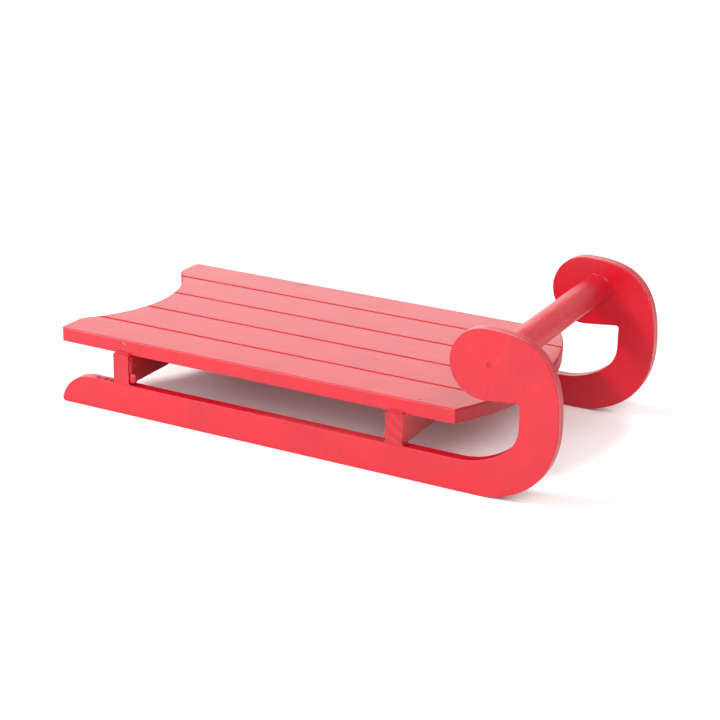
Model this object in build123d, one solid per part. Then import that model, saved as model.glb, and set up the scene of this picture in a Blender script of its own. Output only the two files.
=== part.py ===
from build123d import *
import os
from math import acos, asin, atan2, cos, degrees, hypot, radians, sin, sqrt

# A small wooden sled: two sawn runners with curled fronts, two crossbeams, a deck
# of five butted slats, and a round crossbar between the curls.
# Millimetres. +X is the sled's front, +Z is up. The origin is the middle of the
# sled's outline on the ground. Right and left are those of someone riding it.

# Sled
overall_length = 271.0      # runner tails to the front of the curls
curl_height = 80.5          # ground to the top of the curls

# Deck
deck_width = 127.0
deck_thickness = 7.2
deck_front_setback = 33.7   # front of the curls back to the middle of the deck's front edge
front_arc_radius = 125.4    # the front edge bows forwards
rear_arc_radius = 65.4      # the rear edge is scooped, which leaves two horns
rear_arc_depth = 19.1
horn_tip_radius = 3.0       # the horns' outer corners
horn_root_radius = 9.0      # where a horn's end turns into the scoop
inner_slat_width = 26.2     # the three middle slats; the outer two share the rest
slat_top_ease = 0.9         # sanded edge; two of them make the line between slats
slat_bottom_ease = 0.4

# Runners, sawn from board
board_thickness = 5.8
runner_reach = 2.0          # the runners' outer faces stand this far outside the deck
runner_tail_inset = 1.0     # and their tails this far short of the deck's horns
rail_height = 16.0
tail_radius = 18.5
tail_corner_radius = 2.0
board_ease = 0.5

# Curl: outer line as two quarter curves, toe and brow, then a round head
toe_setback = 38.9          # where the sole starts to lift, behind the curl's front
toe_pull = 13.3             # how long the curve stays along the sole
widest_height = 40.1        # height of the curl's foremost point
belly_pull = 32.9
brow_pull = 38.7
crown_pull = 16.2
right_head = (16.9, 37.1)   # radius, and how far its centre is behind the curl's front
left_head = (17.4, 37.9)    # sawn by hand, a little fuller than the right one

# Throat: the open notch between head, limb and rail
limb_depth = 19.1           # front of the curl to the throat's front wall
roof_rise = 1.9             # the throat's roof climbs this much to its front corner
throat_corner_radius = 1.3
heel_radius = 15.0
ramp_radius = 37.3
ramp_turn = 39.4            # degrees turned along the ramp before the heel

# Crossbeams, on the rails' top edges and under the deck
beam_thickness = 9.0
beam_height = 15.6
rear_beam_inset = 33.6      # tail to the rear beam's rear face
beam_spacing = 152.2        # between the two beams' rear faces
beam_ease = 0.4

# Crossbar, a dowel butted between the two heads
bar_diameter = 14.0
bar_setback = 32.0          # bar's centre behind the curl's front
bar_height = 65.4
bar_end_ease = 0.5

# Steel pins: (length with head, shank radius, head radius, head thickness)
bar_nail = (28.0, 0.7, 1.1, 1.2)
beam_pin = (25.0, 0.6, 1.0, 0.9)
slat_brad = (20.0, 0.6, 1.0, 0.9)
nail_set = 0.3              # the crossbar nails are punched this far below the surface
nail_off_centre = (-2.6, -1.2)  # and stand this far behind and below the bar's middle
pin_clearance = 0.02        # radial, and past each tip

# Places that follow from the sizes
front_x = overall_length / 2
tail_x = -overall_length / 2
runner_tail_x = tail_x + runner_tail_inset
deck_bottom = rail_height + beam_height
runner_outer_y = deck_width / 2 + runner_reach
runner_inner_y = runner_outer_y - board_thickness
runner_middle_y = runner_outer_y - board_thickness / 2
rear_beam_x = tail_x + rear_beam_inset + beam_thickness / 2
beam_xs = (rear_beam_x, rear_beam_x + beam_spacing)
bar_x = front_x - bar_setback
seams = [inner_slat_width * k for k in (-1.5, -0.5, 0.5, 1.5)]
slat_edges = [-deck_width / 2] + seams + [deck_width / 2]
slat_names = ["slat_right_outer", "slat_right_inner", "slat_centre",
              "slat_left_inner", "slat_left_outer"]


def vertex_near(shape, x, y):
    """The flat outline's corner closest to (x, y)."""
    return min(shape.vertices(), key=lambda v: (v.X - x) ** 2 + (v.Y - y) ** 2)


def head_and_throat_edges(head_radius, head_x):
    """Head, the throat's roof leaving it tangentially, front wall, heel and ramp."""
    head_z = curl_height - head_radius
    wall_x = front_x - limb_depth
    roof_drop = head_radius - roof_rise
    to_corner = degrees(atan2(-roof_drop, wall_x - head_x))
    leave = to_corner - degrees(acos(head_radius / hypot(roof_drop, wall_x - head_x)))
    roof = head_z - roof_drop
    head = CenterArc((head_x, head_z), head_radius, 90, 270 + leave)
    turn = radians(ramp_turn)
    heel_top = rail_height + ramp_radius * (1 - cos(turn)) + heel_radius * cos(turn)
    ramp_x = wall_x - heel_radius * (1 - sin(turn)) - ramp_radius * sin(turn)
    edges = [
        head,
        Line(head @ 1, (wall_x, roof)),
        Line((wall_x, roof), (wall_x, heel_top)),
        CenterArc((wall_x - heel_radius, heel_top), heel_radius, 0, ramp_turn - 90),
        CenterArc((ramp_x, rail_height + ramp_radius), ramp_radius, ramp_turn - 90, -ramp_turn),
    ]
    return edges, (wall_x, roof), (ramp_x, rail_height)


def tail_edges(rail_start):
    """Rail's flat top, then the tail's arc down to the ground."""
    sunk = tail_radius - rail_height
    middle_x = runner_tail_x + sqrt(tail_radius**2 - sunk**2)
    sweep = 90 - degrees(asin(sunk / tail_radius))
    return [
        Line(rail_start, (middle_x, rail_height)),
        CenterArc((middle_x, -sunk), tail_radius, 90, sweep),
    ]


def runner_face(head):
    """The runner's side view, x along the sled and y up."""
    head_radius, head_setback = head
    toe_x = front_x - toe_setback
    head_x = front_x - head_setback
    throat, throat_corner, rail_start = head_and_throat_edges(head_radius, head_x)
    outline = [
        Line((runner_tail_x, 0), (toe_x, 0)),
        Bezier((toe_x, 0), (toe_x + toe_pull, 0),
               (front_x, widest_height - belly_pull), (front_x, widest_height)),
        Bezier((front_x, widest_height), (front_x, widest_height + brow_pull),
               (head_x + crown_pull, curl_height), (head_x, curl_height)),
    ]
    face = make_face(Curve() + outline + throat + tail_edges(rail_start))
    face = fillet(vertex_near(face, *throat_corner), throat_corner_radius)
    return fillet(vertex_near(face, runner_tail_x, 0), tail_corner_radius)


def runner(head, outer_y):
    """One runner board, its outer face at outer_y, both faces' edges sanded."""
    left_face_y = outer_y if outer_y > 0 else outer_y + board_thickness
    board = extrude(Plane.XZ.offset(-left_face_y) * runner_face(head), amount=board_thickness)
    faces = board.faces().sort_by(Axis.Y)
    return fillet(faces[0].edges() + faces[-1].edges(), board_ease)


def deck_plan():
    """The whole deck's outline from above."""
    front_middle = front_x - deck_front_setback
    length = front_middle - tail_x
    plan = Pos((front_middle + tail_x) / 2, 0) * Rectangle(length, deck_width)
    plan &= Pos(front_middle - front_arc_radius, 0) * Circle(front_arc_radius) + (
        Pos(tail_x + length / 4, 0) * Rectangle(length / 2, deck_width)
    )
    plan -= Pos(tail_x + rear_arc_depth - rear_arc_radius, 0) * Circle(rear_arc_radius)
    root_y = sqrt(rear_arc_radius**2 - (rear_arc_radius - rear_arc_depth) ** 2)
    for side in (-1, 1):
        tip = vertex_near(plan, tail_x, side * deck_width / 2)
        plan = fillet(tip, horn_tip_radius)
        root = vertex_near(plan, tail_x, side * root_y)
        plan = fillet(root, horn_root_radius)
    return plan


def slat(plan, low_y, high_y):
    """One slat: a strip of the deck's outline, square below its sanded edges."""
    strip = Pos(0, (low_y + high_y) / 2) * Rectangle(overall_length, high_y - low_y)
    board = extrude(Pos(0, 0, deck_bottom) * (plan & strip), amount=deck_thickness)
    board = fillet(board.faces().sort_by(Axis.Z)[-1].edges(), slat_top_ease)
    return fillet(board.faces().sort_by(Axis.Z)[0].edges(), slat_bottom_ease)


def crossbeam(x):
    """A square-sawn beam whose end grain is flush with the runners' outer faces."""
    beam = Box(beam_thickness, 2 * runner_outer_y, beam_height)
    beam = fillet(beam.edges().filter_by(Axis.Y), beam_ease)
    return Pos(x, 0, rail_height + beam_height / 2) * beam


def crossbar():
    """The dowel, along Y, its ends square against the runners' inner faces."""
    bar = Cylinder(bar_diameter / 2, 2 * runner_inner_y, rotation=(90, 0, 0))
    bar = fillet(bar.edges().filter_by(GeomType.CIRCLE), bar_end_ease)
    return Pos(bar_x, 0, bar_height) * bar


def pin(size, grow=0.0, mouth=0.0):
    """A headed pin pointing down from the origin; grown, it is the hole for itself."""
    length, shank_radius, head_radius_, head_thickness = size
    below = (Align.CENTER, Align.CENTER, Align.MAX)
    shank = Cylinder(shank_radius + grow, length + grow, align=below)
    head = Cylinder(head_radius_ + grow, head_thickness + mouth, align=below)
    return shank + Pos(0, 0, mouth) * head


def bar_nail_places():
    """Outside each head, pointing inwards along the crossbar."""
    x, z = bar_x + nail_off_centre[0], bar_height + nail_off_centre[1]
    depth_y = runner_outer_y - nail_set
    return [Pos(x, side * depth_y, z) * Rot(-side * 90, 0, 0) for side in (-1, 1)]


def beam_pin_places():
    """On each beam's ends, under the deck, pointing down into the rails."""
    return [Pos(x, side * runner_middle_y, deck_bottom) for x in beam_xs for side in (-1, 1)]


def slat_brad_places():
    """Under each beam, one for each slat, pointing up into the deck."""
    middles = [(low + high) / 2 for low, high in zip(slat_edges, slat_edges[1:])]
    return [Pos(x, y, rail_height) * Rot(180, 0, 0) for x in beam_xs for y in middles]


def drilled(body, places, size, mouth=0.0):
    """The body with a hole wherever one of these pins passes through it."""
    for place in places:
        body -= place * pin(size, pin_clearance, mouth)
    return body


def all_nodes():
    nails, pins, brads = bar_nail_places(), beam_pin_places(), slat_brad_places()
    nodes = {}
    for name, head, outer_y, nail in (("right_runner", right_head, -runner_outer_y, nails[:1]),
                                      ("left_runner", left_head, runner_outer_y, nails[1:])):
        board = drilled(runner(head, outer_y), nail, bar_nail, mouth=nail_set)
        side = [place for place in pins if place.position.Y * outer_y > 0]
        nodes[name] = drilled(board, side, beam_pin)
    for name, x in zip(("rear_crossbeam", "front_crossbeam"), beam_xs):
        own_pins = [place for place in pins if place.position.X == x]
        own_brads = [place for place in brads if place.position.X == x]
        nodes[name] = drilled(drilled(crossbeam(x), own_pins, beam_pin), own_brads, slat_brad)
    plan = deck_plan()
    for name, low_y, high_y in zip(slat_names, slat_edges, slat_edges[1:]):
        own_brads = [place for place in brads if low_y < place.position.Y < high_y]
        nodes[name] = drilled(slat(plan, low_y, high_y), own_brads, slat_brad)
    nodes["crossbar"] = drilled(crossbar(), nails, bar_nail)
    nodes["crossbar_nails"] = Compound([place * pin(bar_nail) for place in nails])
    nodes["crossbeam_pins"] = Compound([place * pin(beam_pin) for place in pins])
    nodes["slat_brads"] = Compound([place * pin(slat_brad) for place in brads])
    return nodes


os.makedirs("parts", exist_ok=True)
for node_name, shape in all_nodes().items():
    export_step(shape, f"parts/{node_name}.step")
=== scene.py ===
import math

import bmesh
import bpy
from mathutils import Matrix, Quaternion, Vector, noise


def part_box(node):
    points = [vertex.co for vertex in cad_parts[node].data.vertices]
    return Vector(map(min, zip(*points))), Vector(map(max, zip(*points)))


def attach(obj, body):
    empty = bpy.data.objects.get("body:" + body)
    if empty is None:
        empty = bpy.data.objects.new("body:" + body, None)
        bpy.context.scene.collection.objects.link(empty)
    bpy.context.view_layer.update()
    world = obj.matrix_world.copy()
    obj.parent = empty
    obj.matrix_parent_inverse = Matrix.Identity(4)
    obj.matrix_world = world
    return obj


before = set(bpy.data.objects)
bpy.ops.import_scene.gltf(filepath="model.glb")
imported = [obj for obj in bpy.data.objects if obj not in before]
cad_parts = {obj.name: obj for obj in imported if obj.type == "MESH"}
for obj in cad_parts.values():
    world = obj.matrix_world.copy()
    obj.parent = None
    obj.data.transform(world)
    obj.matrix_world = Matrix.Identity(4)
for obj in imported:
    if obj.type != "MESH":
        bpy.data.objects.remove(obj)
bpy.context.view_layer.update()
MM = 0.001

# ---------------------------------------------------------------- Table, light and camera
# The sled stands on white background paper in a small photographic tent. Four softboxes do the
# work: one high on the nose side, one in front, one low behind for the sheen on the deck, and a
# small strong one on the tail side that throws the crossbar's shadow. Three weaker ones fill in.


def linear(hex_colour):
    """An sRGB hex colour as the linear red, green, blue and alpha that shaders take."""
    channels = [int(hex_colour[i : i + 2], 16) / 255 for i in (1, 3, 5)]
    bent = [c / 12.92 if c <= 0.04045 else ((c + 0.055) / 1.055) ** 2.4 for c in channels]
    return (*bent, 1.0)


def add(tree, kind, settings=None, **inputs):
    """Adds a shader node with its settings. An input is named as its socket is, with _ for a space,
    or by number as _0, and is given another node's output or a constant."""
    made = tree.nodes.new(kind)
    for name, value in (settings or {}).items():
        setattr(made, name, value)
    for name, value in inputs.items():
        key = int(name[1:]) if name[0] == "_" else name.replace("_", " ")
        if isinstance(value, bpy.types.NodeSocket):
            tree.links.new(value, made.inputs[key])
        else:
            made.inputs[key].default_value = value
    return made


def new_material(name):
    """A new material, its node tree and its shader."""
    material = bpy.data.materials.new(name)
    material.use_nodes = True
    tree = material.node_tree
    return material, tree, tree.nodes["Principled BSDF"]


def matt_background_paper():
    """Uncoated paper: matt, with the tooth of the pulp drawn at 1 mm, coarser than it is."""
    material, tree, shader = new_material("matt_background_paper")
    place = add(tree, "ShaderNodeTexCoord").outputs["Object"]
    tooth = add(tree, "ShaderNodeTexNoise", Vector=place, Scale=1000.0, Detail=3.0)
    bump = add(tree, "ShaderNodeBump", Height=tooth.outputs["Fac"], Distance=0.02 * MM)
    tree.links.new(bump.outputs["Normal"], shader.inputs["Normal"])
    shader.inputs["Base Color"].default_value = linear("#FAFAF9")
    shader.inputs["Roughness"].default_value = 0.9
    return material


bpy.ops.mesh.primitive_grid_add(x_subdivisions=8, y_subdivisions=8, size=8.0)
paper = bpy.context.object
paper.name = "paper_sweep"
paper.data.materials.append(matt_background_paper())


def outward(azimuth, elevation):
    """The direction from the sled at that bearing, in degrees. Azimuth 0 is the near side, 90 the nose."""
    turn, lift = math.radians(azimuth), math.radians(elevation)
    flat = math.cos(lift)
    return Vector((math.sin(turn) * flat, -math.cos(turn) * flat, math.sin(lift)))


SOFTBOX_DISTANCE = 1.6


def softbox(name, azimuth, elevation, width, height, radiance):
    """A flat white softbox that faces the sled, as bright all over as radiance says."""
    light = bpy.data.lights.new(name, "AREA")
    light.shape = "RECTANGLE"
    light.size, light.size_y = width, height
    light.energy = radiance * math.pi * width * height
    box = bpy.data.objects.new(name, light)
    box.location = outward(azimuth, elevation) * SOFTBOX_DISTANCE
    box.rotation_euler = outward(azimuth, elevation).to_track_quat("Z", "Y").to_euler()
    bpy.context.scene.collection.objects.link(box)


world = bpy.data.worlds.new("white_tent")
world.use_nodes = True
world.node_tree.nodes["Background"].inputs["Color"].default_value = linear("#FFFFFF")
world.node_tree.nodes["Background"].inputs["Strength"].default_value = 0.2
bpy.context.scene.world = world
softbox("softbox_nose_side", azimuth=72, elevation=47, width=1.3, height=0.7, radiance=4.4)
softbox("softbox_tail_side", azimuth=315, elevation=43, width=0.34, height=0.34, radiance=60)
softbox("softbox_tail_fill", azimuth=300, elevation=18, width=1.5, height=0.9, radiance=0.9)
softbox("softbox_front", azimuth=12, elevation=32, width=1.4, height=0.5, radiance=5.0)
softbox("softbox_behind", azimuth=208, elevation=17, width=1.4, height=0.9, radiance=2.55)
softbox("softbox_overhead", azimuth=0, elevation=88, width=1.8, height=1.8, radiance=0.7)
softbox("softbox_behind_nose", azimuth=155, elevation=20, width=1.3, height=0.9, radiance=1.0)

bpy.context.scene.view_settings.view_transform = "Standard"

view_aim = Vector((0.00406, -0.00305, 0.02824))
view_azimuth = 27.525
view_elevation = 20.323
view_roll = 1.14
view_distance = 0.90356
lens = 90.145

toward_camera = outward(view_azimuth, view_elevation)
camera = bpy.data.objects.new("camera", bpy.data.cameras.new("camera"))
camera.data.lens = lens
camera.data.clip_start = 0.01
camera.location = view_aim + toward_camera * view_distance
camera.rotation_mode = "QUATERNION"
level = (-toward_camera).to_track_quat("-Z", "Y")
camera.rotation_quaternion = level @ Quaternion((0, 0, 1), math.radians(view_roll))
bpy.context.scene.collection.objects.link(camera)
bpy.context.scene.camera = camera

# ---------------------------------------------------------------- Runners
# Two boards cut with a fretsaw from 6 mm three-ply birch, the face grain upright, and sanded at
# the arrises. All the sled has one brushed coat of red enamel, put on after it was assembled.

ENAMEL = "#BC021E"
ENAMEL_DEEP = "#900114"
ENAMEL_THIN = "#C52428"
BARE_WOOD = "#A9755A"
ENAMEL_IOR = 1.53


def millimetres(tree, shift):
    """Where the surface lies, in mm, shifted so that no two pieces have the same grain."""
    spot = add(tree, "ShaderNodeTexCoord").outputs["Object"]
    scaled = add(tree, "ShaderNodeVectorMath", {"operation": "MULTIPLY_ADD"},
                 _0=spot, _1=(1 / MM,) * 3, _2=shift)
    return scaled.outputs["Vector"]


def streaks(tree, place, size, detail=3.0, rough=0.5):
    """Noise from 0 to 1, drawn out to spots of that size in mm along X, Y and Z."""
    squeezed = add(tree, "ShaderNodeVectorMath", {"operation": "DIVIDE"}, _0=place, _1=size)
    pattern = add(tree, "ShaderNodeTexNoise", Vector=squeezed.outputs["Vector"], Scale=1.0,
                  Detail=detail, Roughness=rough)
    return pattern.outputs["Fac"]


def facing(tree, axis):
    """How squarely the surface faces along that axis, from 0 to 1, whichever way."""
    normal = add(tree, "ShaderNodeTexCoord").outputs["Normal"]
    parts = add(tree, "ShaderNodeSeparateXYZ", Vector=normal).outputs[axis]
    return add(tree, "ShaderNodeMath", {"operation": "ABSOLUTE"}, _0=parts).outputs[0]


def arris(tree, face):
    """1 on the rounded arris between a face and the edge beside it, falling to 0 on both."""
    square = add(tree, "ShaderNodeMath", {"operation": "MULTIPLY"}, _0=face, _1=face).outputs[0]
    rest = add(tree, "ShaderNodeMath", {"operation": "SUBTRACT"}, _0=1.0, _1=square).outputs[0]
    both = add(tree, "ShaderNodeMath", {"operation": "MULTIPLY"}, _0=square, _1=rest).outputs[0]
    return add(tree, "ShaderNodeMapRange", Value=both, From_Min=0.04, From_Max=0.2).outputs[0]


def laid_on(tree, relief, pattern, height):
    """The relief, in mm, with a 0 to 1 pattern of that height laid on it."""
    return add(tree, "ShaderNodeMath", {"operation": "MULTIPLY_ADD"},
               _0=pattern, _1=height, _2=relief).outputs[0]


def blended(tree, factor, first, second):
    """One colour going over to another."""
    return add(tree, "ShaderNodeMix", {"data_type": "RGBA"}, _0=factor, _6=first, _7=second).outputs[2]


def kept_where(tree, pattern, low, high):
    """0 where the pattern is under low, 1 where it is over high."""
    return add(tree, "ShaderNodeMapRange", {"interpolation_type": "SMOOTHSTEP"},
               Value=pattern, From_Min=low, From_Max=high).outputs[0]


def marked(tree, centre, size):
    """1 inside an uneven oval of that half size in mm about centre, falling to 0 round it."""
    place = millimetres(tree, tuple(-part for part in centre))
    wander = streaks(tree, place, (0.9, 0.9, 0.9), detail=2.0)
    oval = add(tree, "ShaderNodeVectorMath", {"operation": "DIVIDE"}, _0=place, _1=size)
    far = add(tree, "ShaderNodeVectorMath", {"operation": "LENGTH"}, _0=oval.outputs["Vector"])
    return kept_where(tree, laid_on(tree, far.outputs["Value"], wander, 0.9), 1.7, 1.1)


def brushed_enamel(material_parts, place, relief, pores, edge, brushed, wear=0.61, marks=(),
                   rough=(0.27, 0.36), dull=0.0):
    """Alkyd enamel brushed over wood. It hides the wood's colour and shows its relief. It is deeper
    where it filled the pores, a shade thinner over the arrises, and rubbed through there in specks.
    brushed is the size of one brush mark, drawn at 0.6 mm wide, where real bristles leave 0.3 mm.
    Each of the marks is the centre of a blemish, its half size, its colour and its height in mm.
    Where it is dull, the coat soaked in and lost its shine."""
    material, tree, shader = material_parts
    cloudy = streaks(tree, place, (22, 22, 22), detail=4.0)
    strokes = streaks(tree, place, brushed, detail=4.0, rough=0.6)
    nibs = streaks(tree, place, (0.5, 0.5, 0.5), detail=1.0)
    chips = streaks(tree, place, (2.2, 2.2, 2.2), detail=5.0, rough=0.7)
    thin = add(tree, "ShaderNodeMath", {"operation": "MULTIPLY"}, _0=edge, _1=0.1).outputs[0]
    rubbed = add(tree, "ShaderNodeMath", {"operation": "MULTIPLY"},
                 _0=edge, _1=kept_where(tree, chips, wear, wear + 0.05)).outputs[0]
    red = blended(tree, kept_where(tree, cloudy, 0.35, 0.75), linear(ENAMEL), linear(ENAMEL_DEEP))
    red = blended(tree, 0.28, linear(ENAMEL), red)
    red = blended(tree, thin, red, linear(ENAMEL_THIN))
    # On the slats, pores also holds a painted shade laid over the whole top face.
    red = blended(tree, pores, red, linear(ENAMEL_DEEP))
    red = blended(tree, rubbed, red, linear(BARE_WOOD))
    for centre, size, colour, height in marks:
        spot = marked(tree, centre, size)
        red = blended(tree, spot, red, linear(colour))
        relief = laid_on(tree, relief, spot, height)
    tree.links.new(red, shader.inputs["Base Color"])
    gloss = add(tree, "ShaderNodeMapRange", Value=strokes, From_Min=0.3, From_Max=0.7,
                To_Min=rough[0], To_Max=rough[1]).outputs[0]
    gloss = laid_on(tree, gloss, rubbed, 0.3)
    gloss = laid_on(tree, gloss, pores, 0.25)
    gloss = laid_on(tree, gloss, edge, 0.25)
    gloss = laid_on(tree, gloss, dull, 0.7)
    tree.links.new(gloss, shader.inputs["Roughness"])
    shader.inputs["IOR"].default_value = ENAMEL_IOR
    relief = laid_on(tree, relief, strokes, 0.022)
    relief = laid_on(tree, relief, nibs, 0.008)
    relief = laid_on(tree, relief, pores, -0.03)
    relief = laid_on(tree, relief, rubbed, -0.04)
    bump = add(tree, "ShaderNodeBump", Height=relief, Distance=MM)
    tree.links.new(bump.outputs["Normal"], shader.inputs["Normal"])
    return material


def give_finish(node_name, finish):
    """Puts one finish on a wooden or steel piece of the frame."""
    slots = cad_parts[node_name].data.materials
    slots.clear()
    slots.append(finish)


def enamel_on_birch_ply(name, shift, middle, wear, marks):
    """Brushed enamel on sanded birch ply. The face veneer is rotary cut, so its figure is faint and
    upright. On the rim the three plies show as bands with a fine glue line between them."""
    parts = new_material(name)
    tree = parts[1]
    place = millimetres(tree, shift)
    face = facing(tree, "Y")
    figure = streaks(tree, place, (1.3, 1.3, 34), detail=4.0)
    hairs = kept_where(tree, streaks(tree, place, (0.4, 0.4, 3.0), detail=2.0), 0.74, 0.84)
    pores = add(tree, "ShaderNodeMath", {"operation": "MULTIPLY"}, _0=hairs, _1=0.2).outputs[0]
    pores = laid_on(tree, pores, kept_where(tree, figure, 0.45, 0.7), 0.12)
    across = add(tree, "ShaderNodeSeparateXYZ", Vector=millimetres(tree, (0, 0, 0))).outputs["Y"]
    from_middle = add(tree, "ShaderNodeMath", {"operation": "SUBTRACT"}, _0=across, _1=middle)
    depth = add(tree, "ShaderNodeMath", {"operation": "ABSOLUTE"}, _0=from_middle.outputs[0]).outputs[0]
    # Half thicknesses in mm. The glue line is drawn thicker than it is, so that it shows.
    core_half, glue_half, fade = 1.35, 0.16, 0.25
    glue_line = add(tree, "ShaderNodeMath", {"operation": "COMPARE"},
                    _0=depth, _1=core_half, _2=glue_half).outputs[0]
    rim = kept_where(tree, face, 0.6, 0.3)
    plies = kept_where(tree, depth, core_half + fade, core_half - fade)
    banded = add(tree, "ShaderNodeMath", {"operation": "MULTIPLY"}, _0=plies, _1=rim).outputs[0]
    lines = add(tree, "ShaderNodeMath", {"operation": "MULTIPLY"}, _0=glue_line, _1=rim).outputs[0]
    relief = laid_on(tree, 0.0, figure, 0.035)
    relief = laid_on(tree, relief, banded, -0.06)
    relief = laid_on(tree, relief, lines, -0.04)
    sunk = laid_on(tree, pores, banded, 0.2)
    sunk = laid_on(tree, sunk, rim, 0.15)
    return brushed_enamel(parts, place, relief, sunk, arris(tree, face), (0.6, 0.6, 18), wear, marks)


PALE_FLECK = "#D9525C"
DARK_FLECK = "#8E0014"

# Where the blemishes are, in mm from the top front corner of each board's near face.
right_marks = (
    ((-30.4, 0, -13.2), (0.4, 0.5, 0.3), PALE_FLECK, 0.1),
    ((-11.3, 0, -22.6), (1.3, 0.6, 1.0), "#C40E27", 0.02),
    ((-34.3, 0, -27.9), (0.3, 0.6, 3.6), "#A80119", -0.03),
    ((-23.8, 1.5, -0.3), (1.0, 1.0, 0.8), DARK_FLECK, -0.08),
    ((-116.1, 0, -74.3), (0.7, 0.6, 0.4), DARK_FLECK, -0.1),
    ((-81.2, 0, -68.8), (0.5, 0.6, 0.6), DARK_FLECK, -0.1),
)
left_marks = (((-15.1, 5.8, -18.4), (0.5, 0.6, 0.5), PALE_FLECK, 0.1),)
for node_name, shift, wear, offsets in (
    ("right_runner", (0, 0, 0), 0.61, right_marks),
    ("left_runner", (310, 90, 40), 0.57, left_marks),
):
    low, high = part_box(node_name)
    middle = (low.y + high.y) / 2 / MM
    corner = Vector((high.x, low.y, high.z)) / MM
    marks = [(corner + Vector(offset), *rest) for offset, *rest in offsets]
    finish = enamel_on_birch_ply(f"brushed_enamel_on_{node_name}", shift, middle, wear, marks)
    give_finish(node_name, finish)

# ---------------------------------------------------------------- Crossbeams
# Two sticks of sawn softwood on edge, glued and pinned across the rails. Their ends are end grain,
# where the growth rings show through the coat as slanting ridges.


def enamel_on_sawn_softwood(name, shift, ring_centre, ring_gap, ridge, tint, marks):
    """Brushed enamel on a sawn softwood stick: long grain along it, growth rings on its ends."""
    parts = new_material(name)
    tree = parts[1]
    place = millimetres(tree, shift)
    end = kept_where(tree, facing(tree, "Y"), 0.6, 0.9)
    long_grain = streaks(tree, place, (1.1, 45, 1.1), detail=4.0)
    flat = add(tree, "ShaderNodeVectorMath", {"operation": "MULTIPLY"},
               _0=millimetres(tree, tuple(-c for c in ring_centre)), _1=(1, 0, 1))
    gap_at_scale_1 = 2 * math.pi / 20
    rings = add(tree, "ShaderNodeTexWave", {"wave_type": "RINGS", "rings_direction": "SPHERICAL"},
                Vector=flat.outputs["Vector"], Scale=gap_at_scale_1 / ring_gap, Distortion=2.5,
                Detail=2.0, Detail_Scale=0.35).outputs["Fac"]
    ringed = add(tree, "ShaderNodeMath", {"operation": "MULTIPLY"}, _0=rings, _1=end).outputs[0]
    fibres = kept_where(tree, streaks(tree, place, (0.5, 0.5, 0.5), detail=2.0), 0.5, 0.75)
    open_ends = add(tree, "ShaderNodeMath", {"operation": "MULTIPLY"}, _0=fibres, _1=end).outputs[0]
    relief = laid_on(tree, 0.0, long_grain, 0.05)
    relief = laid_on(tree, relief, ringed, ridge)
    pores = laid_on(tree, 0.0, open_ends, 0.35)
    pores = laid_on(tree, pores, ringed, tint)
    return brushed_enamel(parts, place, relief, pores, arris(tree, facing(tree, "X")),
                          (0.6, 20, 0.6), marks=marks)


dent = ((3.2, 0, 4.9), (0.6, 0.6, 0.8), DARK_FLECK, -0.15)
for node_name, ring_shift, ring_gap, ridge, tint, offsets in (
    ("rear_crossbeam", (-60, 0, 2), 2.9, 0.04, 0.1, ()),
    ("front_crossbeam", (14, 0, 17), 4.6, 0.14, 0.6, (dent,)),
):
    low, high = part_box(node_name)
    centre = (low + high) / 2 / MM
    rings_at = (centre.x + ring_shift[0], 0, centre.z + ring_shift[2])
    marks = [(low / MM + Vector(offset), *rest) for offset, *rest in offsets]
    finish = enamel_on_sawn_softwood(f"brushed_enamel_on_{node_name}", (low.x / MM, 7, 11), rings_at,
                                     ring_gap, ridge, tint, marks)
    give_finish(node_name, finish)

# ---------------------------------------------------------------- Paint left in the joints
# The brush left enamel in every inside corner: beads along the foot of each crossbeam, a slope over
# the step between the beams' ends and the deck, and a fat drop and a crust at the rear right joint.


def thick_enamel(name, colour, rough, wrinkle):
    """Enamel that pooled and skinned over: deeper in colour, wrinkled at 1 mm, smooth between."""
    material, tree, shader = new_material(name)
    place = millimetres(tree, (0, 0, 0))
    wrinkles = streaks(tree, place, (1.0, 1.0, 1.0), detail=4.0)
    tree.links.new(blended(tree, wrinkles, linear(colour), linear(ENAMEL_DEEP)),
                   shader.inputs["Base Color"])
    gloss = add(tree, "ShaderNodeMapRange", Value=wrinkles, From_Min=0.3, From_Max=0.7,
                To_Min=rough - 0.05, To_Max=rough + 0.08).outputs[0]
    tree.links.new(gloss, shader.inputs["Roughness"])
    bump = add(tree, "ShaderNodeBump", Height=wrinkles, Distance=wrinkle * MM)
    tree.links.new(bump.outputs["Normal"], shader.inputs["Normal"])
    shader.inputs["IOR"].default_value = ENAMEL_IOR
    return material


def skin(name, points, faces, material):
    """A smooth closed mesh that rides on the sled."""
    mesh = bpy.data.meshes.new(name)
    mesh.from_pydata(points, [], faces)
    shell = bmesh.new()
    shell.from_mesh(mesh)
    bmesh.ops.recalc_face_normals(shell, faces=shell.faces)
    for face in shell.faces:
        face.smooth = True
    shell.to_mesh(mesh)
    shell.free()
    mesh.materials.append(material)
    piece = bpy.data.objects.new(name, mesh)
    bpy.context.scene.collection.objects.link(piece)
    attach(piece, "root")


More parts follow.
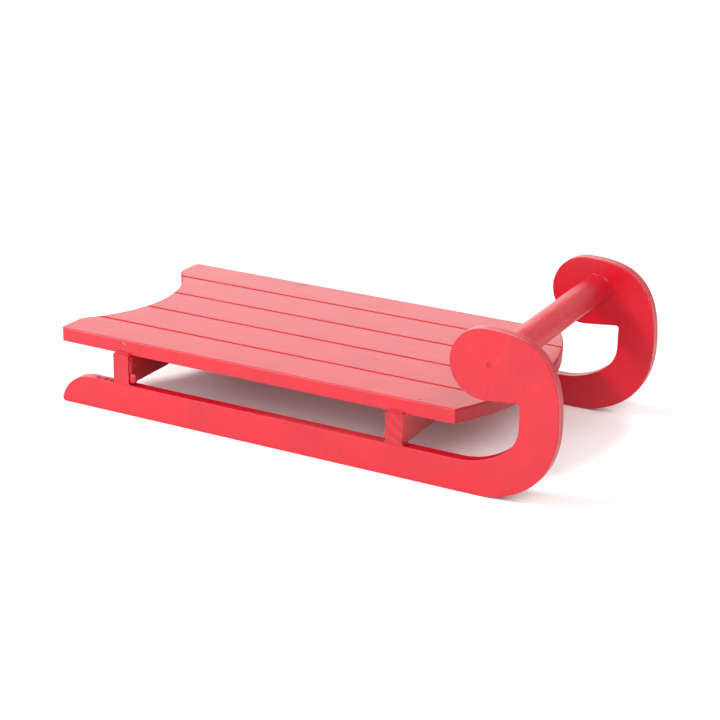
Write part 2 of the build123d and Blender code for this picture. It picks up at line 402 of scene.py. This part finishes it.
def beads(name, lines, reach, swell, material, hollow=1.35, closed=False):
    """Strips of paint in inside corners. A line is a row of corner points, each with the directions
    along the two faces that meet there. A strip reaches that many mm up each, and swells and thins.
    A hollow of 1 is a flat slope, and more is a scooped one."""
    points, faces = [], []
    sides = 6
    lump = 1.7 * MM
    for line in lines:
        first = len(points)
        for number, (corner, over, up) in enumerate(line):
            ends = min(number, len(line) - 1 - number)
            taper = 1.0 if closed else min(1.0, 0.7 + 0.15 * ends)
            size = (1 + swell * noise.noise(corner / lump)) * taper * MM
            points.append(corner)
            for side in range(sides + 1):
                part = side / sides
                along = over * reach[0] * (1 - part) ** hollow
                points.append(corner + (along + up * reach[1] * part**hollow) * size)
        ring = sides + 2
        count = len(line) if closed else len(line) - 1
        for number in range(count):
            here = first + number * ring
            then = first + (number + 1) % len(line) * ring
            for side in range(ring):
                after = (side + 1) % ring
                faces.append((here + side, here + after, then + after, then + side))
        if not closed:
            faces.append(tuple(range(first, first + ring)))
            faces.append(tuple(range(len(points) - ring, len(points))))
    skin(name, points, faces, material)


def daub(name, place, out, along, size, material, seed=0.0, waver=0.22, pit=0.0):
    """A drop of paint on a flat face: a domed patch with a wavy outline and a flat underside. size is
    its half length, half width and lift in mm. pit is how far its middle sinks, as a part of the lift."""
    across = out.cross(along)
    rings, spokes = 8, 32
    pit_reach = 0.6
    points, faces = [place + out * size[2] * (1 - pit) * MM], []
    for ring in range(1, rings + 1):
        part = ring / rings
        for spoke in range(spokes):
            turn = 2 * math.pi * spoke / spokes
            spot = Vector((math.cos(turn), math.sin(turn), seed))
            reach = part * (1 + waver * 2 * noise.noise(spot * 1.3))
            dome = math.sqrt(1 - part**2) * (1 - pit * max(0.0, 1 - (part / pit_reach) ** 2))
            lift = size[2] * dome * (1 + 2 * waver * noise.noise(spot * part * 2))
            flat = along * spot.x * size[0] * reach + across * spot.y * size[1] * reach
            points.append(place + (flat + out * lift) * MM)
    for spoke in range(spokes):
        after = (spoke + 1) % spokes
        faces.append((0, 1 + spoke, 1 + after))
        for ring in range(rings - 1):
            inner, outer = 1 + ring * spokes, 1 + (ring + 1) * spokes
            faces.append((inner + spoke, outer + spoke, outer + after, inner + after))
    faces.append(tuple(1 + (rings - 1) * spokes + spoke for spoke in range(spokes)))
    skin(name, points, faces, material)


X, Y, Z = Vector((1, 0, 0)), Vector((0, 1, 0)), Vector((0, 0, 1))
pooled_enamel = thick_enamel("pooled_enamel_in_the_joints", ENAMEL, 0.3, wrinkle=0.04)
soaked_filler = thick_enamel("enamel_soaked_into_filler", ENAMEL, 0.7, wrinkle=0.04)
foot_lines, step_lines = [], []
shares = [step / 12 for step in range(13)]
deck_edges = {-1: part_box("slat_right_outer")[0].y, 1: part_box("slat_left_outer")[1].y}
rails = {-1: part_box("right_runner"), 1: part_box("left_runner")}
for node_name in ("rear_crossbeam", "front_crossbeam"):
    low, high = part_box(node_name)
    for side in (-1, 1):
        near, far = rails[side][0].y, rails[side][1].y
        for face_x, ahead in ((low.x, -X), (high.x, X)):
            across = [near + (far - near) * share for share in shares]
            foot_lines.append([(Vector((face_x, y, low.z)), ahead, Z) for y in across])
        along = [low.x + (high.x - low.x) * (0.05 + 0.9 * share) for share in shares]
        step_lines.append([(Vector((x, deck_edges[side], high.z)), Y * side, Z) for x in along])
beads("paint_beads_at_beam_feet", foot_lines, (1.0, 1.2), 0.7, pooled_enamel)
beads("paint_slopes_at_beam_ends", step_lines, (1.9, 1.2), 0.04, soaked_filler,
      hollow=1.0)

rear_low, rear_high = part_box("rear_crossbeam")
foot = Vector((rear_high.x, rear_low.y, rear_low.z))
daub("paint_drop_at_rear_beam", foot + (Y * 2.1 + Z * 3.4) * MM, X, Z, (3.2, 1.9, 3.5), pooled_enamel,
     seed=3.0, waver=0.05)
daub("paint_run_on_rear_beam", foot + (Y * 2.15 + Z * 9.6) * MM, X, Z, (5.4, 2.0, 1.3), pooled_enamel,
     seed=5.5, waver=0.05)
daub("paint_smear_on_rear_beam", foot + (Y * 5.0 + Z * 10.8) * MM, X, Z, (3.2, 1.7, 0.6), pooled_enamel,
     seed=8.2, waver=0.3)

# The same dark enamel serves for the real crusts and for a painted shadow at the nick in the right slat.
crust_and_painted_shadow = thick_enamel("dried_enamel_crust_and_painted_shadow", "#7C1024", 0.45, wrinkle=0.15)
rail_corner = Vector((rear_low.x, rails[-1][0].y, rear_low.z))
for number, (back, inward, length) in enumerate(((2.4, 1.9, 1.9), (6.3, 2.3, 1.5), (10.9, 2.0, 1.9))):
    daub(f"paint_crust_{number}", rail_corner + (Y * inward - X * back) * MM, Z, X, (length, 0.8, 0.4),
         crust_and_painted_shadow, seed=1.7 * number, waver=0.3)

# ---------------------------------------------------------------- Deck slats
# Five planed pine slats laid edge to edge on the crossbeams, then cut together to the round front
# and the scooped tail. Only the left outer one has strong figure and a knot.


def enamel_on_planed_pine(name, shift, figure_height, marks, seam_shape):
    """Brushed enamel on planed pine: long grain in soft ridges, fine upright ribs on the cut ends. The
    coat lies thick and dull in the grooves where two sanded edges meet."""
    parts = new_material(name)
    tree = parts[1]
    place = millimetres(tree, shift)
    end = kept_where(tree, facing(tree, "X"), 0.6, 0.9)
    figure = streaks(tree, place, (70, 1.5, 1.5), detail=4.0)
    ribs = streaks(tree, place, (0.8, 0.8, 9), detail=3.0)
    cut = add(tree, "ShaderNodeMath", {"operation": "MULTIPLY"}, _0=ribs, _1=end).outputs[0]
    hairs = kept_where(tree, streaks(tree, place, (5.0, 0.4, 0.4), detail=2.0), 0.74, 0.84)
    pores = add(tree, "ShaderNodeMath", {"operation": "MULTIPLY"}, _0=hairs, _1=0.4).outputs[0]
    pores = laid_on(tree, pores, end, 0.4)
    top = facing(tree, "Z")
    # Painted shade: the whole top face is laid a shade deeper and duller, to take down the light that
    # falls on it.
    pores = laid_on(tree, pores, top, 0.3)
    pores = laid_on(tree, pores, cut, 0.5)
    across = add(tree, "ShaderNodeSeparateXYZ", Vector=millimetres(tree, (0, 0, 0))).outputs["Y"]
    centre, half_width = seam_shape
    aside = add(tree, "ShaderNodeMath", {"operation": "SUBTRACT"}, _0=across, _1=centre).outputs[0]
    aside = add(tree, "ShaderNodeMath", {"operation": "ABSOLUTE"}, _0=aside).outputs[0]
    groove_starts, groove_full = half_width - 1.1, half_width - 0.6
    by_seam = kept_where(tree, aside, groove_starts, groove_full)
    grooved = add(tree, "ShaderNodeMath", {"operation": "MULTIPLY"}, _0=by_seam,
                  _1=kept_where(tree, top, 0.05, 0.2)).outputs[0]
    relief = laid_on(tree, 0.0, figure, figure_height)
    relief = laid_on(tree, relief, cut, 0.2)
    worn = add(tree, "ShaderNodeMath", {"operation": "MULTIPLY"}, _0=arris(tree, top), _1=0.35)
    return brushed_enamel(parts, place, relief, pores, worn.outputs[0], (26, 0.6, 0.6), marks=marks,
                          dull=grooved)


# Where the blemishes are, in mm from the top front right corner of each slat.
spot_by_nick = ((-183.1, 0, -3.4), (0.6, 0.6, 0.5), DARK_FLECK, -0.1)
dirt = ((-209.9, 12.5, 0), (1.1, 0.7, 0.6), DARK_FLECK, 0.05)
notch = ((-29.6, 2.9, 0), (1.4, 0.7, 0.6), DARK_FLECK, -0.15)
rear_blemish = ((-77.2, 14.9, 0), (1.0, 0.7, 0.6), ENAMEL_DEEP, -0.1)
front_blemish = ((-38.4, 18.9, 0), (1.3, 0.5, 0.6), ENAMEL_DEEP, -0.1)
knot = ((-162.3, 21.0, 0), (3.8, 2.3, 2.0), ENAMEL_DEEP, 0.12)

# An outer slat's free edge has no seam, so the width there is taken as going on past it, in mm.
past_free_edge = {"slat_right_outer": -9, "slat_left_outer": 9}
for number, (node_name, figure_height, offsets) in enumerate(
    (
        ("slat_right_outer", 0.025, (spot_by_nick, dirt, notch)),
        ("slat_right_inner", 0.025, (rear_blemish, front_blemish)),
        ("slat_centre", 0.025, ()),
        ("slat_left_inner", 0.03, ()),
        ("slat_left_outer", 0.12, (knot,)),
    )
):
    low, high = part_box(node_name)
    corner = Vector((high.x, low.y, high.z)) / MM
    marks = [(corner + Vector(offset), *rest) for offset, *rest in offsets]
    past = past_free_edge.get(node_name, 0)
    seam_shape = ((low.y + high.y) / 2 / MM + past, (high.y - low.y) / 2 / MM + abs(past))
    finish = enamel_on_planed_pine(f"brushed_enamel_on_{node_name}", (83 * number, 41, 5),
                                   figure_height, marks, seam_shape)
    give_finish(node_name, finish)

# The nick in the right slat's edge: a raised pale sliver, and under it a painted shadow, a thin dark daub.
low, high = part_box("slat_right_outer")
nick = Vector((high.x, low.y, high.z)) + Vector((-191.7, 0, -1.9)) * MM
split = Vector((4.1, 0, -2.9)).normalized()
shadow_side = split.cross(-Y)
torn_fibres = thick_enamel("chipped_enamel_over_pine", "#D98F86", 0.45, wrinkle=0.1)
daub("nick_sliver", nick, -Y, split, (1.5, 0.35, 0.35), torn_fibres,
     seed=2.0, waver=0.25)
# Painted shadow: a thin dark daub beside the sliver, where its shade falls on the edge.
daub("nick_painted_shadow", nick + shadow_side * 0.75 * MM, -Y, split, (1.3, 0.4, 0.1), crust_and_painted_shadow,
     seed=4.0, waver=0.25)

# ---------------------------------------------------------------- Crossbar
# A hardwood dowel butted between the two heads, held by glue and one nail through each head. Its
# grain runs along it, and the brush left a ring of paint where it meets each head.


def enamel_on_dowel(name):
    """Brushed enamel on a hardwood dowel, with the fine long ridges that the dowel plate left."""
    parts = new_material(name)
    tree = parts[1]
    place = millimetres(tree, (5, 19, 3))
    figure = streaks(tree, place, (1.2, 60, 1.2), detail=4.0)
    mottle = kept_where(tree, streaks(tree, place, (3.5, 7, 3.5), detail=4.0), 0.35, 0.75)
    pores = add(tree, "ShaderNodeMath", {"operation": "MULTIPLY"}, _0=mottle, _1=0.15).outputs[0]
    return brushed_enamel(parts, place, laid_on(tree, 0.0, figure, 0.07), pores,
                          arris(tree, facing(tree, "Y")), (0.6, 14, 0.6), rough=(0.38, 0.5))


give_finish("crossbar", enamel_on_dowel("brushed_enamel_on_crossbar"))

bar_low, bar_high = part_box("crossbar")
bar_middle = (bar_low + bar_high) / 2
bar_radius = (bar_high.z - bar_low.z) / 2
rings = []
ring_points = 60
turns = [2 * math.pi * step / ring_points for step in range(ring_points)]
for end_y, inward in ((bar_low.y, Y), (bar_high.y, -Y)):
    spokes = [X * math.cos(turn) + Z * math.sin(turn) for turn in turns]
    centre = Vector((bar_middle.x, end_y, bar_middle.z))
    rings.append([(centre + spoke * bar_radius, spoke, inward) for spoke in spokes])
beads("paint_rings_at_crossbar", rings, (0.45, 0.6), 0.5, pooled_enamel, closed=True)

# ---------------------------------------------------------------- Nails, pins and brads
# Wire nails: the two in the heads were punched just under the surface and painted over. The pins
# and brads are bright steel all over, also at the brads' heads, which show under the crossbeams.


def drawn_steel_wire():
    """Bright drawn wire, with fine lines along its length and a little dullness in patches."""
    material, tree, shader = new_material("drawn_steel_wire")
    place = millimetres(tree, (0, 0, 0))
    lines = streaks(tree, place, (0.1, 0.1, 4.0))
    dull = streaks(tree, place, (1.5, 1.5, 1.5))
    tree.links.new(blended(tree, dull, linear("#B9B7B2"), linear("#8E8A84")), shader.inputs["Base Color"])
    gloss = add(tree, "ShaderNodeMapRange", Value=dull, To_Min=0.28, To_Max=0.5).outputs[0]
    tree.links.new(gloss, shader.inputs["Roughness"])
    shader.inputs["Metallic"].default_value = 1.0
    bump = add(tree, "ShaderNodeBump", Height=lines, Distance=0.01 * MM)
    tree.links.new(bump.outputs["Normal"], shader.inputs["Normal"])
    return material


def enamel_on_steel():
    """The same enamel pooled over a punched nail head: smooth, with a few nibs."""
    parts = new_material("enamel_over_punched_nails")
    tree = parts[1]
    place = millimetres(tree, (9, 9, 9))
    return brushed_enamel(parts, place, streaks(tree, place, (1, 1, 1)), 0.0, 0.0, (2, 2, 2))


steel = drawn_steel_wire()
for node_name in ("crossbeam_pins", "slat_brads"):
    give_finish(node_name, steel)
give_finish("crossbar_nails", enamel_on_steel())

# Each punched hole is filled with paint that sank in the middle, level with the board round it.
nail_low, nail_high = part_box("crossbar_nails")
nail_z = (nail_low.z + nail_high.z) / 2
nail_x = (nail_low.x + nail_high.x) / 2
nail_radius = (nail_high.z - nail_low.z) / 2 / MM
filled_part = 0.95
for side, name in ((-1, "right"), (1, "left")):
    head_y = nail_low.y if side < 0 else nail_high.y
    board_y = rails[side][0].y if side < 0 else rails[side][1].y
    room = abs(board_y - head_y) / MM
    daub(f"nail_filling_{name}", Vector((nail_x, head_y, nail_z)), Y * side, Z,
         (nail_radius, nail_radius, room * filled_part), pooled_enamel, seed=side,
         waver=0.0, pit=0.25)
